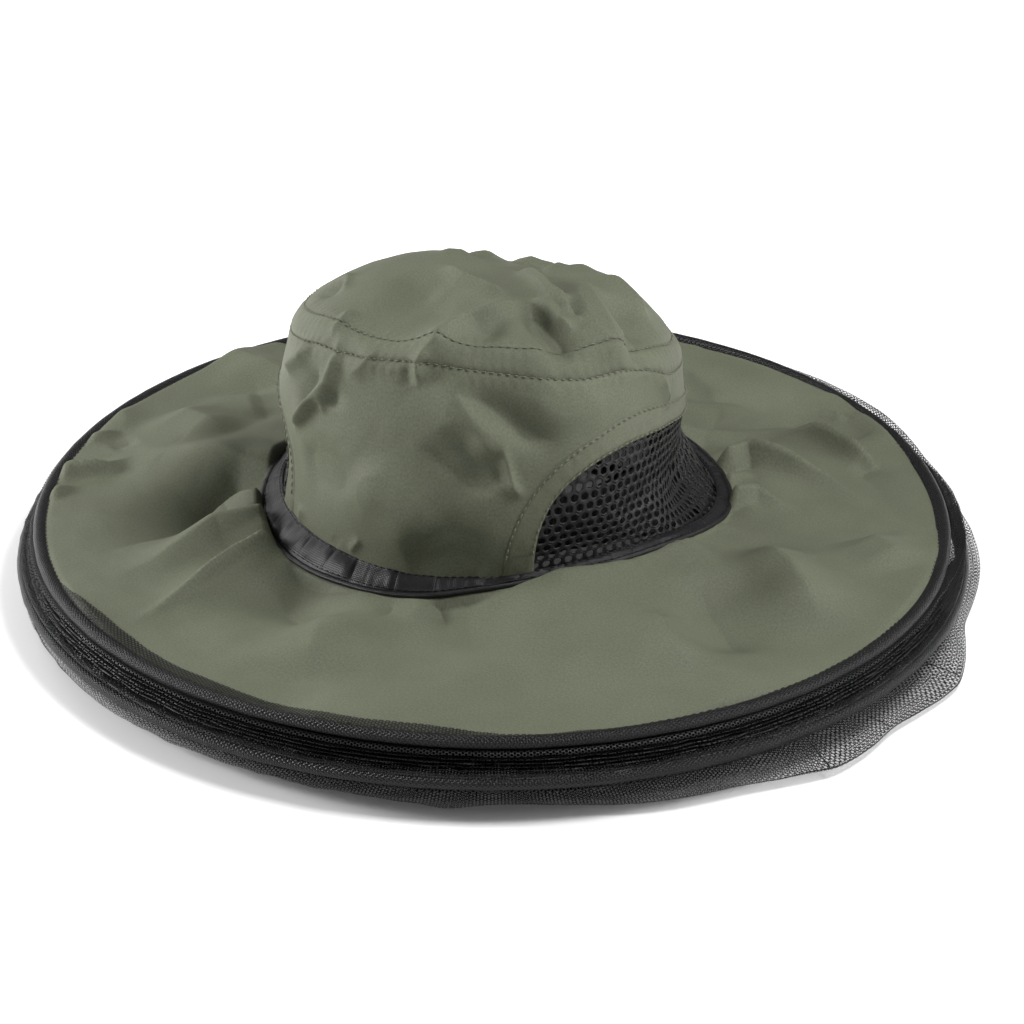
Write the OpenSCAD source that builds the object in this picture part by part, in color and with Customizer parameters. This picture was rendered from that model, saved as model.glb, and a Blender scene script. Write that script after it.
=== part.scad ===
// Pop-up veil hat: a soft bucket hat whose wide brim is held open by a
// spring hoop, with a black net veil, a second hoop and an elastic neck hem.
// The veil is collapsed: the whole part stands on its neck hem.
// Millimetres, +Z up, the front of the hat faces -Y, origin on the floor
// under the axis of the hat.

/* [Head and crown] */
// Inner radius of the sweatband (59 cm head)
head_r = 94; // [90:0.5:98]
// Height of the sweatband
sweat_h = 30; // [20:1:34]
// Thickness of the folded sweatband tape
sweat_t = 3.2; // [3:0.1:3.4]
// Thickness of the crown fabric with its seam allowance
cloth_t = 1.2; // [1:0.1:1.6]
// Height of the crown base above the floor
base_z = 38; // [36:0.5:42]
// Height of the lower row of stitching above the floor
band_z0 = 114; // [105:1:120]
// Height of the upper row of stitching above the floor
band_z1 = 129; // [124:1:136]
// Height of the middle of the crown above the floor
tip_z = 150; // [142:1:156]

/* [Vent windows] */
// Half width of a window, as an angle round the crown
vent_half = 50; // [40:1:54]
// Height of a window above the crown base
vent_h = 50; // [35:1:60]
// Width of the facing sewn round a window
facing_w = 13; // [8:1:15]

/* [Brim and hoops] */
// Radius of the brim hoop
brim_r = 205; // [195:1:212]
// Height of the brim hoop above the floor
brim_z = 30; // [28:0.5:34]
// Radius of the lower hoop
lower_r = 213; // [206:1:222]
// Height of the lower hoop above the floor
lower_z = 16; // [12:0.5:18]
// Radius of the spring wire
wire_r = 0.9; // [0.7:0.05:1]
// Outer radius of the binding over a hoop
bind_r = 2.6; // [2.4:0.1:3]

/* [Veil] */
// How far the loose net stands out past the lower hoop
bulge = 10; // [4:1:16]
// Thickness of a layer of gathered net
net_t = 1.0; // [0.8:0.1:1.4]
// Inner radius of the neck hem
neck_r = 98; // [96:1:110]
// Width of the neck hem
hem_w = 10; // [8:1:14]
// Height of the neck hem
hem_h = 7; // [6:0.5:8]

/* [Hidden] */
$fn = 96;
wall_r = head_r + sweat_t + 0.3 + cloth_t;     // outer radius of the crown wall
knee_z = base_z + 42;                          // the wall is upright up to here
band_r0 = wall_r - 7.2;
band_r1 = wall_r - 12.2;
big = 400;
olive = [0.42, 0.42, 0.30];
olive_facing = [0.47, 0.46, 0.33];
black = [0.05, 0.05, 0.06];
steel = [0.72, 0.72, 0.70];

// A sector of space round +Z, centred on the angle mid
module sector(mid, half) {
    n = 6;
    linear_extrude(height = big, center = true)
        polygon(concat([[0, 0]], [for (i = [0 : n]) let (a = mid - half + 2 * half * i / n)
            [big * cos(a), big * sin(a)]]));
}

// Side wall of the crown between two offsets from its outer face
module wall(out_in, out_out) {
    rotate_extrude() polygon([
        [wall_r + out_in, base_z], [wall_r + out_out, base_z],
        [wall_r + out_out, knee_z], [band_r0 + out_out, band_z0],
        [band_r0 + out_in, band_z0], [wall_r + out_in, knee_z]]);
}

// Arch outline seen from the side of the hat: a super-ellipse standing on the
// crown base, grown by g on the top and the sides
function arch(w, h, n = 28) = concat(
    [for (i = [0 : n]) let (t = 180 * i / n)
        [w * sign(cos(t)) * pow(abs(cos(t)), 0.85), base_z + h * pow(sin(t), 0.85)]],
    [[-w, base_z - 5], [w, base_z - 5]]);
module arch_prism(side, g) {
    w = wall_r * sin(vent_half) + g * 0.62;
    rotate([90, 0, 90]) translate([0, 0, side > 0 ? 0 : -big])
        linear_extrude(height = big) polygon(arch(w, vent_h + g));
}

module crown_side(front) {
    color(olive) difference() {
        intersection() {
            wall(-cloth_t, 0);
            translate([0, (front ? -1 : 1) * big / 2, 0]) cube([2 * big, big, 2 * big], center = true);
        }
        arch_prism(1, 0);
        arch_prism(-1, 0);
    }
}
module crown_front_panel() { crown_side(true); }
module crown_back_panel() { crown_side(false); }

// Open spacer mesh that fills a window
module vent_mesh(side) {
    color(black) intersection() {
        wall(-cloth_t + 0.1, -0.1);
        arch_prism(side, 0);
    }
}
module vent_mesh_right() { vent_mesh(1); }
module vent_mesh_left() { vent_mesh(-1); }

// Facing strip sewn on the outside round a window
module vent_facing(side) {
    color(olive_facing) difference() {
        intersection() {
            wall(0, 0.7);
            arch_prism(side, facing_w);
            translate([0, 0, base_z + 11 + big / 2]) cube([2 * big, 2 * big, big], center = true);
        }
        arch_prism(side, 0);
    }
}
module vent_facing_right() { vent_facing(1); }
module vent_facing_left() { vent_facing(-1); }

module crown_band() {
    color(olive) rotate_extrude() polygon([
        [band_r0 - cloth_t, band_z0], [band_r0, band_z0],
        [band_r1, band_z1], [band_r1 - cloth_t, band_z1]]);
}

// Domed top panel
module crown_tip() {
    color(olive) rotate_extrude() polygon([
        [0, tip_z - cloth_t], [45, tip_z - 2 - cloth_t], [68, tip_z - 7 - cloth_t], [band_r1 - cloth_t, band_z1],
        [band_r1, band_z1], [70, tip_z - 6.5], [46, tip_z - 2], [0, tip_z]]);
}

// Satin tape round the foot of the crown, and the piping in its seam
module crown_base_tape() {
    color(black) rotate_extrude() translate([wall_r, base_z + 0.8]) square([1.0, 9]);
}
module crown_piping() {
    color(black) rotate_extrude() translate([wall_r + 2.4, base_z + 1.4]) circle(r = 1.2);
}

// Folded tape inside the crown, open at the back for its elastic
module sweatband() {
    color(black) difference() {
        rotate_extrude() translate([head_r, base_z + 0.5]) square([sweat_t, sweat_h]);
        intersection() {
            rotate_extrude() translate([head_r + 0.7, base_z + 5]) square([sweat_t - 1.4, sweat_h - 9]);
            sector(90, 50);
        }
    }
}
module sweatband_elastic() {
    color([0.1, 0.1, 0.1]) intersection() {
        rotate_extrude() translate([head_r + 0.9, base_z + 5.4]) square([sweat_t - 1.8, sweat_h - 9.8]);
        sector(90, 49);
    }
}

// Wide brim: one flat ring of cloth that falls a little towards the hoop
brim_in = head_r + sweat_t + 0.4;
brim_out = brim_r - bind_r - 0.1;
brim_t = 1.4;
function brim_top(r) = base_z - 0.1 - (r - brim_in) * (base_z - 0.1 - brim_z - 0.7) / (brim_out - brim_in);
module brim_panel() {
    color(olive) rotate_extrude() polygon([
        [brim_in, brim_top(brim_in) - brim_t], [brim_out, brim_top(brim_out) - brim_t],
        [brim_out, brim_top(brim_out)], [brim_in, brim_top(brim_in)]]);
}

// Binding tube, spring hoop with its two ends, and the crimped sleeve on them
module binding(r, z) {
    color(black) rotate_extrude() translate([r, z]) difference() {
        circle(r = bind_r);
        circle(r = bind_r - 0.6);
    }
}
module hoop(r, z) {
    color(steel) rotate([0, 0, 90.2]) rotate_extrude(angle = 359.6) translate([r, z]) circle(r = wire_r);
}
module sleeve(r, z) {
    color(steel) rotate([0, 0, 86.5]) rotate_extrude(angle = 7) translate([r, z]) difference() {
        circle(r = wire_r + 0.65);
        circle(r = wire_r + 0.05);
    }
}
module brim_binding() { binding(brim_r, brim_z); }
module brim_hoop() { hoop(brim_r, brim_z); }
module brim_hoop_sleeve() { sleeve(brim_r, brim_z); }
module lower_binding() { binding(lower_r, lower_z); }
module lower_hoop() { hoop(lower_r, lower_z); }
module lower_hoop_sleeve() { sleeve(lower_r, lower_z); }

// Edge of the net turned up over the rim of the brim and sewn down on it
module net_selvage() {
    ri = brim_out - 7;
    color(black) rotate_extrude() polygon([
        [ri, brim_top(ri) + 0.1], [brim_out, brim_top(brim_out) + 0.1],
        [brim_out, brim_top(brim_out) + 0.6], [ri, brim_top(ri) + 0.6]]);
}

// Upper net, folded up between the two hoops: one layer in a zigzag.
// Each fold's outer corner stands 0.9 past the line, its inner one 1.6 before
module veil_upper_net() {
    za = brim_z - bind_r - 0.4;
    zb = lower_z + bind_r + 0.4;
    z1 = za - (za - zb) / 3;
    z2 = zb + (za - zb) / 3;
    color(black) rotate_extrude() polygon([
        [brim_r, za], [lower_r + 1.9, z1], [brim_r - 9.4, z2], [lower_r, zb + 0.35],
        [lower_r, zb], [brim_r - 11.9, z2], [lower_r - 0.6, z1], [brim_r, za - 0.7]]);
}

// Lower net: out past the lower hoop, down, and back in to the neck hem
module veil_lower_net() {
    ro = lower_r + bulge;
    ri = neck_r + hem_w + 0.2;
    color(black) rotate_extrude() polygon([
        [lower_r - 2, lower_z - bind_r - 0.4], [lower_r + 1, lower_z - bind_r - 0.4],
        [ro - 2.5, lower_z - bind_r - 3], [ro, 6], [ro - 2.5, 1.4], [ri, 2.2],
        [ri, 2.2 + net_t], [ro - 5, 1.4 + net_t], [ro - 1.6 - net_t, 6], [ro - 4, lower_z - bind_r - 4]]);
}

// Neck hem: a casing with a flat foot, and the elastic inside it
module neck_hem() {
    color(black) rotate_extrude() translate([neck_r, 0]) difference() {
        polygon([[0, 0], [hem_w, 0], [hem_w, hem_h - 1.5], [hem_w - 1.5, hem_h], [1.5, hem_h], [0, hem_h - 1.5]]);
        translate([1.2, 1.2]) square([hem_w - 2.4, hem_h - 2.9]);
    }
}
module neck_elastic() {
    color([0.12, 0.12, 0.12]) rotate_extrude()
        translate([neck_r + 1.5, 1.5]) square([hem_w - 3, hem_h - 3.5]);
}

crown_tip();
crown_band();
crown_front_panel();
crown_back_panel();
vent_mesh_left();
vent_mesh_right();
vent_facing_left();
vent_facing_right();
crown_base_tape();
crown_piping();
sweatband();
sweatband_elastic();
brim_panel();
brim_binding();
brim_hoop();
brim_hoop_sleeve();
net_selvage();
lower_binding();
lower_hoop();
lower_hoop_sleeve();
veil_upper_net();
veil_lower_net();
neck_hem();
neck_elastic();
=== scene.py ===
"""Pop-up veil hat, collapsed on a table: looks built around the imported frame.
Lengths below are in millimetres unless a name ends in _M; meshes are written in metres."""
import math
import bpy
import numpy as np
from mathutils import Matrix, Vector


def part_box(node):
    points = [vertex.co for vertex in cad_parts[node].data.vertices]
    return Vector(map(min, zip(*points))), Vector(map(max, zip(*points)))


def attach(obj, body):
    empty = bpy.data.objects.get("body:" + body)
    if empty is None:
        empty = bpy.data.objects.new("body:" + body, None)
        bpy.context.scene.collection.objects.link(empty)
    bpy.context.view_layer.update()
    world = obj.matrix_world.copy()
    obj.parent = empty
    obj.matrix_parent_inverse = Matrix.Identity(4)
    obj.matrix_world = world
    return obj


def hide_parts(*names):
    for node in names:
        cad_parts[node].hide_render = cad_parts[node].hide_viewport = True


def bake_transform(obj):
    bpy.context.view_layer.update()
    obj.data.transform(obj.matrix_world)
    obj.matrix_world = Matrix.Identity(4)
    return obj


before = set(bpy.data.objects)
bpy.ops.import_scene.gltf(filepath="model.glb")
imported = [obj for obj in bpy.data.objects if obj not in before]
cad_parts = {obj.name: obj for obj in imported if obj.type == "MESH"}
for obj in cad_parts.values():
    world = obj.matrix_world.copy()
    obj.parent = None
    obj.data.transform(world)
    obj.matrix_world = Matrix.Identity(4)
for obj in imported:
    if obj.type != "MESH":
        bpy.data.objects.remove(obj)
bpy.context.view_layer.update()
MM = 0.001

# ---------------------------------------------------------------- sizes from the frame
def node_r(node):
    lo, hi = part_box(node)
    return (hi.x - lo.x) / 2 * 1000.0, lo.z * 1000.0, hi.z * 1000.0
_r, _lo, _hi = node_r("brim_binding")
BIND = (_hi - _lo) / 2
HOOP_R, HOOP_Z = _r - BIND, (_lo + _hi) / 2
_r, _lo, _hi = node_r("lower_binding")
LOW_R, LOW_Z = _r - BIND, (_lo + _hi) / 2
HEM_OUT, _lo, HEM_TOP = node_r("neck_hem")
BASE_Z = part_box("crown_front_panel")[0].z * 1000.0
DZ = BASE_Z - 38.0

# ---------------------------------------------------------------- shape of the crown and its foot, by angle round the hat
AZ = 28.0
_G = np.arange(1440) / 4.0
def periodic(table, sigma=5.0):
    """A smooth periodic function of an angle in degrees through a short table."""
    a = np.array(sorted((t % 360.0, v) for t, v in table), float)
    x = np.concatenate([a[:, 0] - 360, a[:, 0], a[:, 0] + 360])
    y = np.tile(a[:, 1], 3)
    g = np.interp(_G, x, y)
    k = np.fft.rfftfreq(1440, 0.25)
    g = np.fft.irfft(np.fft.rfft(g) * np.exp(-2 * (np.pi * k * sigma) ** 2), 1440)
    return lambda t: np.interp(np.asarray(t, float) % 360.0, np.append(_G, 360.0), np.append(g, g[0]))
def place(t, r, z):
    """Angle from the viewer's side (deg), radius and height in mm -> row frame in mm."""
    a = np.radians(np.asarray(t, float) + AZ)
    r = np.asarray(r, float)
    return np.stack([r * np.sin(a), -r * np.cos(a), np.broadcast_to(z, r.shape) + 0.0 * r], -1)
pip_r = periodic([(-124,103),(-109,104),(-96,103.5),(-85,105),(-71,106.5),(-60,107),(-47,106),(-37,105),(-28,104),(-19,102),(-10,100),(-3,99),(12,98),(31,99),(49,101),(65,104),(73,105.5),(81,107),(90,107.3),(99,106.5),(108,105),(116,104),(124,103),(150,101),(180,100),(-150,101)],3)
pip_z = periodic([(-124,37),(-109,37),(-96,36.5),(-85,36),(-71,34.5),(-60,33),(-47,32.6),(-37,33.5),(-28,33.9),(-19,34.6),(-10,37.4),(-3,39.9),(12,43.4),(31,46),(49,45.6),(65,41.6),(73,38),(81,36),(90,35.5),(99,36),(116,37),(140,38),(180,39),(-150,38)],4)
r0 = periodic([(-120,97),(-100,97),(-85,97),(-70,96),(-50,96),(-30,96.5),(-15,96.5),(0,95.5),(15,94.5),(31,95.5),(49,97.5),(65,100.5),(81,103),(90,103.5),(105,101),(120,99),(150,97.5),(180,97)],4)
z0 = periodic([(-120,41),(-96,41.5),(-85,42),(-70,42),(-50,41),(-30,41),(-15,40),(-3,41.2),(12,44.2),(31,46.8),(49,46.4),(65,42.4),(73,39),(81,37.5),(90,37),(116,38.5),(140,39.5),(180,40.5)],4)
r1 = periodic([(-90,92),(-60,94),(-30,96),(0,96),(30,94),(60,89),(90,87),(120,89),(150,93),(180,94),(-150,94),(-120,92)])
z1 = periodic([(-90,66),(-45,68),(0,69),(45,68),(90,62),(135,62),(180,63),(-135,65)])
r2 = periodic([(-100,94),(-90,95.5),(-75,94),(-60,93),(-30,92),(0,90),(30,89),(60,86),(90,85),(120,86),(150,88),(180,88),(-150,90),(-120,92)])
z2 = periodic([(-90,93),(-45,99),(0,102),(45,97),(90,84),(135,84),(180,85),(-135,89)])
r3 = periodic([(-90,90.5),(-60,87),(-30,82.5),(0,80),(30,80),(60,81.5),(90,83.5),(120,83.5),(150,82),(180,80.5),(-150,83),(-120,87.5)])
z3 = periodic([(-90,118),(-75,123.5),(-60,130),(-40,133),(-20,136.5),(0,133.5),(15,130),(28,126.5),(42,126),(55,120),(68,110),(80,106),(90,103),(120,99),(150,101),(180,103),(-150,106),(-120,112)],3)
r4 = periodic([(-90,84),(-60,81),(-30,77),(0,74),(30,75),(60,76),(90,78.5),(120,78),(150,76),(180,74.5),(-150,77),(-120,81)])
z4 = periodic([(-90,129),(-75,134.5),(-60,141),(-42,140.5),(-30,142),(-20,146.5),(-8,144),(0,143.5),(15,141),(25,139),(35,138.5),(45,135),(52,129),(60,126.5),(68,123),(80,117),(90,114),(120,110),(150,112),(180,115),(-150,118),(-120,123)],2.5)
pw = periodic([(0,2.4),(60,3.2),(90,3.5),(120,2.6),(150,1.8),(180,1.6),(-150,1.8),(-120,2.6),(-90,3.5),(-60,3.2)])
ZC = 150.0
SK = np.array([0.0, 0.32, 0.66, 1.0])
def side(t, s):
    """Crown side, s = 0 at its lower edge and 1 at the lower row of stitching."""
    t, s = np.broadcast_arrays(np.asarray(t, float), np.asarray(s, float))
    R = np.stack([f(t) for f in (r0, r1, r2, r3)], -1)
    Z = np.stack([f(t) for f in (z0, z1, z2, z3)], -1)
    n = 4
    def spline(V):
        h = np.diff(SK)
        d = np.diff(V, axis=-1) / h
        m = np.empty(V.shape)
        m[..., 1:-1] = (d[..., 1:] * h[:-1] + d[..., :-1] * h[1:]) / (h[1:] + h[:-1])
        m[..., 0] = d[..., 0]
        m[..., -1] = d[..., -1]
        i = np.clip(np.searchsorted(SK, s, side='right') - 1, 0, n - 2)
        hh = h[i]
        u = (s - SK[i]) / hh
        g = lambda A, k: np.take_along_axis(A, k[..., None], -1)[..., 0]
        v0, v1, m0, m1 = g(V, i), g(V, i + 1), g(m, i) * hh, g(m, i + 1) * hh
        return (2*u**3-3*u**2+1)*v0 + (u**3-2*u**2+u)*m0 + (-2*u**3+3*u**2)*v1 + (u**3-u**2)*m1
    return place(t, spline(R), spline(Z))
def band(t, s):
    """Band between the two rows of stitching."""
    t, s = np.broadcast_arrays(np.asarray(t, float), np.asarray(s, float))
    return place(t, r3(t) * (1 - s) + r4(t) * s + 1.2 * np.sin(np.pi * s), z3(t) * (1 - s) + z4(t) * s)
def tip(t, q):
    """Top panel, q = 1 at the upper row of stitching and 0 in the middle."""
    t, q = np.broadcast_arrays(np.asarray(t, float), np.asarray(q, float))
    z = z4(t) + (ZC - z4(t)) * (1 - q ** pw(t))
    p = place(t, r4(t) * q, z)
    return p

def crown(t, v):
    """The whole crown: v 0..1 its side, 1..2 the band, 2..3 the top panel."""
    t, v = np.broadcast_arrays(np.asarray(t, float), np.asarray(v, float))
    out = side(t, np.clip(v, -0.1, 1.0))
    b = band(t, np.clip(v - 1, 0, 1))
    c = tip(t, np.clip(3 - v, 0, 1))
    out = np.where((v > 1)[..., None], b, out)
    return np.where((v > 2)[..., None], c, out)

# folds in the cloth: points along each one, its half width and its height (negative for a valley)
CROWN_FOLDS = [
    ([(-20, -13, 150), (-2, -25, 150), (21, -31, 149), (28, -29, 148)], 3, 2.2),
    ([(8, -81, 137), (12, -77, 144), (14, -66, 147), (17, -53, 147), (23, -44, 148), (29, -31, 148), (30, -25, 148)], 3.5, 3.2),
    ([(31, -28, 148), (44, -39, 145), (57, -47, 140), (62, -50, 131)], 5, -5),
    ([(30, -25, 148), (38, -27, 147), (47, -33, 145), (58, -34, 142)], 2.6, 3),
    ([(40, -17, 147), (47, -20, 146), (55, -26, 143)], 2.2, -4),
    ([(7, 6, 150), (16, 0, 150), (24, -7, 149), (36, -17, 148), (47, -22, 146), (57, -28, 143)], 2.8, 3.2),
    ([(36, 9, 147), (48, -5, 145), (65, -21, 139), (71, -26, 136), (78, -20, 126)], 6, 3.2),
    ([(38, 24, 144), (49, 24, 140), (57, 22, 135), (67, 18, 128)], 3, 1.8),
    ([(51, 11, 142), (67, -2, 134), (76, -11, 128)], 7, -3.2),
    ([(69, -12, 134), (77, -17, 128), (80, -15, 120)], 4, -2.4),
    ([(22, 5, 149), (31, -6, 149), (43, -16, 147)], 4, -3),
    ([(-59, -24, 141), (-47, -49, 142)], 2, 1.3),
    ([(-61, -48, 136), (-57, -40, 140), (-58, -30, 141)], 6, -2.8),
    ([(-34, -62, 144), (-34, -70, 142), (-37, -77, 134)], 2.3, 1.6),
    ([(-31, -74, 140), (-32, -80, 127), (-34, -82, 118), (-47, -80, 101), (-60, -72, 84)], 2.3, 3),
    ([(-47, -73, 130), (-55, -70, 120), (-69, -61, 106)], 3, 2.4),
    ([(-31, -83, 116), (-45, -80, 104), (-57, -74, 88)], 1.8, 2),
    ([(-41, -78, 123), (-50, -77, 108), (-58, -73, 95)], 4, -2.6),
    ([(-36, -82, 114), (-37, -85, 102)], 1.5, 1.6),
    ([(-31, -83, 117), (-31, -86, 106)], 3, -2.8),
    ([(-30, -78, 136), (-33, -80, 127)], 3, -1.6),
    ([(12, -77, 144), (8, -81, 137), (9, -84, 125)], 2, 2.6),
    ([(2, -83, 134), (6, -85, 125)], 4, -3.2),
    ([(-11, -80, 138), (-18, -83, 129), (-26, -84, 121)], 4, 1.6),
    ([(-20, -92, 85), (4, -95, 74), (25, -93, 60)], 10, 3.2),
    ([(23, -84, 114), (34, -84, 99), (45, -83, 83)], 7, -3.6),
    ([(10, -90, 103), (24, -89, 96), (39, -85, 89), (47, -81, 82)], 2.6, -1.8),
    ([(18, -80, 134), (32, -80, 115), (47, -79, 92)], 8, 3),
    ([(18, -82, 128), (34, -77, 122), (48, -72, 114), (55, -68, 108), (67, -58, 100)], 5, -3),
    ([(41, -71, 127), (61, -57, 118), (77, -32, 115)], 10, 2),
    ([(45, -77, 106), (51, -78, 87), (56, -76, 80)], 1.8, 2),
    ([(42, -79, 103), (47, -81, 86)], 4, -2.2),
    ([(8, -96, 51), (29, -92, 54), (46, -84, 53)], 8, -3),
    ([(-12, -95, 55), (-20, -94, 44)], 1.8, 1.3),
    ([(-30, -91, 49), (-26, -93, 45)], 2, -1),
    ([(-53, -79, 53), (-54, -80, 42)], 2, 1.4),
    ([(81, -3, 116), (84, 1, 103), (85, 4, 99)], 3, 1.6),
    ([(52, -3, 143), (63, 16, 133)], 5, -1.2),
    ([(-30, -48, 147), (-5, -48, 148), (22, -63, 146)], 14, -1.6),
    ([(-31, -33, 148), (-5, -39, 149)], 6, -1.2),
    ([(11, -55, 148), (24, -57, 146), (37, -56, 144)], 8, -2.4),
    ([(-53, -77, 78), (-31, -89, 80), (-17, -94, 71)], 8, -2),
    ([(67, -67, 70), (71, -61, 79)], 6, 0),
]
BRIM_FOLDS = [
    ([(-94, -39), (-109, -44), (-117, -62), (-125, -105), (-129, -127), (-134, -141)], 12, -5),
    ([(-100, -30), (-130, -31), (-154, -36), (-189, -33)], 12, 3),
    ([(-86, -59), (-104, -62), (-110, -83)], 5, 2.4),
    ([(-74, -80), (-91, -91), (-101, -122), (-114, -146)], 8, 3.2),
    ([(-65, -93), (-70, -105), (-74, -136), (-82, -173)], 2.2, 2.2),
    ([(-63, -95), (-68, -107), (-72, -138), (-81, -175)], 9, 1.5),
    ([(-56, -102), (-32, -123), (-3, -146)], 14, -2.5),
    ([(-179, -91), (-175, -72)], 2.6, 1.8),
    ([(-186, -70), (-171, -59), (-169, -41)], 3, 2.4),
    ([(-181, -83), (-173, -66)], 3, -2),
    ([(-196, -34), (-188, -21)], 3, 1.8),
    ([(-184, -40), (-176, -27)], 4, -1.6),
    ([(10, -108), (12, -123)], 4, -2),
    ([(27, -98), (40, -112)], 4, -2),
    ([(20, -105), (26, -120)], 5, 1.4),
    ([(73, 77), (80, 94), (91, 104)], 4, -3),
    ([(82, 76), (86, 88), (107, 88), (128, 86), (156, 81)], 4.5, 3.8),
    ([(85, 69), (94, 85)], 3, -2.4),
    ([(88, 61), (96, 77)], 2.4, 1.8),
    ([(92, 54), (107, 67)], 6, -2),
    ([(99, 41), (107, 52), (130, 50)], 3, 2),
    ([(101, 33), (109, 42)], 4, -2.4),
    ([(80, 127), (101, 130), (123, 122), (147, 118)], 3.6, 3),
    ([(86, 139), (111, 148), (126, 145)], 5, -3),
    ([(90, 159), (109, 158)], 3, 2),
    ([(129, 116), (154, 109)], 6, -2.4),
    ([(121, 5), (150, -12), (182, -41)], 13, 3.4),
    ([(114, -32), (161, -74)], 14, -2),
    ([(92, -20), (112, -20), (136, -30)], 8, 1.4),
    ([(108, -71), (119, -76), (146, -100)], 8, 2),
    ([(43, -101), (71, -142)], 20, -2),
    ([(-16, -116), (7, -177)], 20, 2.4),
    ([(72, -73), (117, -134)], 20, 2),
    ([(12, 195), (46, 147), (59, 95)], 16, -2.5),
    ([(-173, 65), (-127, 13)], 16, -2),
    ([(-182, 7), (-139, -6)], 14, 2),
    ([(160, 46), (190, 30)], 12, 2),
]

# ---------------------------------------------------------------- small tools
def vnoise(p, seed=0):
    """Value noise in 0..1 at points p (N, 3)."""
    p = np.asarray(p, float)
    i = np.floor(p).astype(np.int64)
    f = p - i
    f = f * f * (3 - 2 * f)
    def h(a, b, c):
        n = a * 374761393 + b * 668265263 + c * 1274126177 + seed * 974634777
        n = (n ^ (n >> 13)) * 1103515245 + 12345
        n = (n ^ (n >> 16)) & 0xFFFF
        return n / 65535.0
    x, y, z = i[..., 0], i[..., 1], i[..., 2]
    u, v, w = f[..., 0], f[..., 1], f[..., 2]
    l = lambda a, b, t: a + (b - a) * t
    return l(l(l(h(x, y, z), h(x+1, y, z), u), l(h(x, y+1, z), h(x+1, y+1, z), u), v),
             l(l(h(x, y, z+1), h(x+1, y, z+1), u), l(h(x, y+1, z+1), h(x+1, y+1, z+1), u), v), w)

def ridged(p, scale, seed):
    return 1 - np.abs(2 * vnoise(np.asarray(p) / scale, seed) - 1)

def fold_height(P, folds):
    """Sum of ridges and valleys: each is a line with a half width and a height."""
    P = np.asarray(P, float)
    out = np.zeros(P.shape[:-1])
    flat = P.reshape(-1, P.shape[-1])
    acc = out.reshape(-1)
    for pts, w, h in folds:
        pts = np.array(pts, float)
        lo, hi = pts.min(0) - 6 * w, pts.max(0) + 6 * w
        k = np.where(np.all((flat >= lo) & (flat <= hi), -1))[0]
        if not len(k):
            continue
        q = flat[k]
        best = np.full(len(k), 1e9)
        along = np.zeros(len(k))
        run = 0.0
        for a, b in zip(pts[:-1], pts[1:]):
            ab = b - a
            n = math.sqrt(max(ab @ ab, 1e-9))
            s = np.clip(((q - a) @ ab) / (n * n), 0, 1)
            d = np.linalg.norm(q - a - s[:, None] * ab, axis=1)
            near = d < best
            best[near] = d[near]
            along[near] = run + s[near] * n
            run += n
        # folds fade out at their ends, except where they run into a seam
        e0 = e1 = 0.35 * run
        if flat.shape[1] == 2:
            a, b = (not 116 < np.linalg.norm(p) < 195 for p in (pts[0], pts[-1]))
            e0, e1 = (0.0 if a else 0.8 * run if b else e0), (0.0 if b else 0.8 * run if a else e1)
        h = h * min(1.0, (0.35 if h > 0 else 0.1) + run / 60.0)
        t = np.minimum(along / e0 if e0 else 1.0, (run - along) / e1 if e1 else 1.0)
        t = np.clip(t, 0, 1)
        t = t * t * (3 - 2 * t)
        sharp = 0.6 if w < 5 else 0.35
        g = (1 - sharp) * np.exp(-0.5 * (best / w) ** 2) + sharp * np.exp(-best / (0.9 * w))
        acc[k] += h * g * t
    return acc.reshape(out.shape)

def mesh_object(name, verts, faces, uvs=None, smooth=True):
    me = bpy.data.meshes.new(name)
    verts = np.asarray(verts, float).reshape(-1, 3) * MM
    faces = np.asarray(faces, np.int64)
    me.vertices.add(len(verts))
    me.vertices.foreach_set("co", verts.ravel())
    n = faces.shape[1]
    me.loops.add(faces.size)
    me.loops.foreach_set("vertex_index", faces.ravel().astype(np.int32))
    me.polygons.add(len(faces))
    me.polygons.foreach_set("loop_start", np.arange(0, faces.size, n, dtype=np.int32))
    me.polygons.foreach_set("loop_total", np.full(len(faces), n, np.int32))
    me.update(calc_edges=True)
    if uvs is not None:
        layer = me.uv_layers.new(name="UVMap")
        layer.data.foreach_set("uv", np.asarray(uvs, np.float32).ravel())
    me.validate()
    me.polygons.foreach_set("use_smooth", np.full(len(me.polygons), smooth))
    o = bpy.data.objects.new(name, me)
    bpy.context.scene.collection.objects.link(o)
    return o

def grid(name, P, UV, closed=False, keep=None, flip=False):
    """Quads over P (nu, nv, 3). UV is (nu or nu + 1, nv, 2) in mm. keep (nu', nv - 1) drops faces."""
    nu, nv = P.shape[:2]
    I, J = np.meshgrid(np.arange(nu if closed else nu - 1), np.arange(nv - 1), indexing="ij")
    if keep is not None:
        I, J = I[keep], J[keep]
    I, J = I.ravel(), J.ravel()
    I1 = (I + 1) % nu if closed else I + 1
    f = np.stack([I * nv + J, I1 * nv + J, I1 * nv + J + 1, I * nv + J + 1], 1)
    uv = np.stack([UV[I, J], UV[I + 1, J], UV[I + 1, J + 1], UV[I, J + 1]], 1)
    if flip:
        f, uv = f[:, ::-1], uv[:, ::-1]
    used = np.unique(f)
    remap = np.full(nu * nv, -1)
    remap[used] = np.arange(len(used))
    return mesh_object(name, P.reshape(-1, 3)[used], remap[f], uv)

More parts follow.
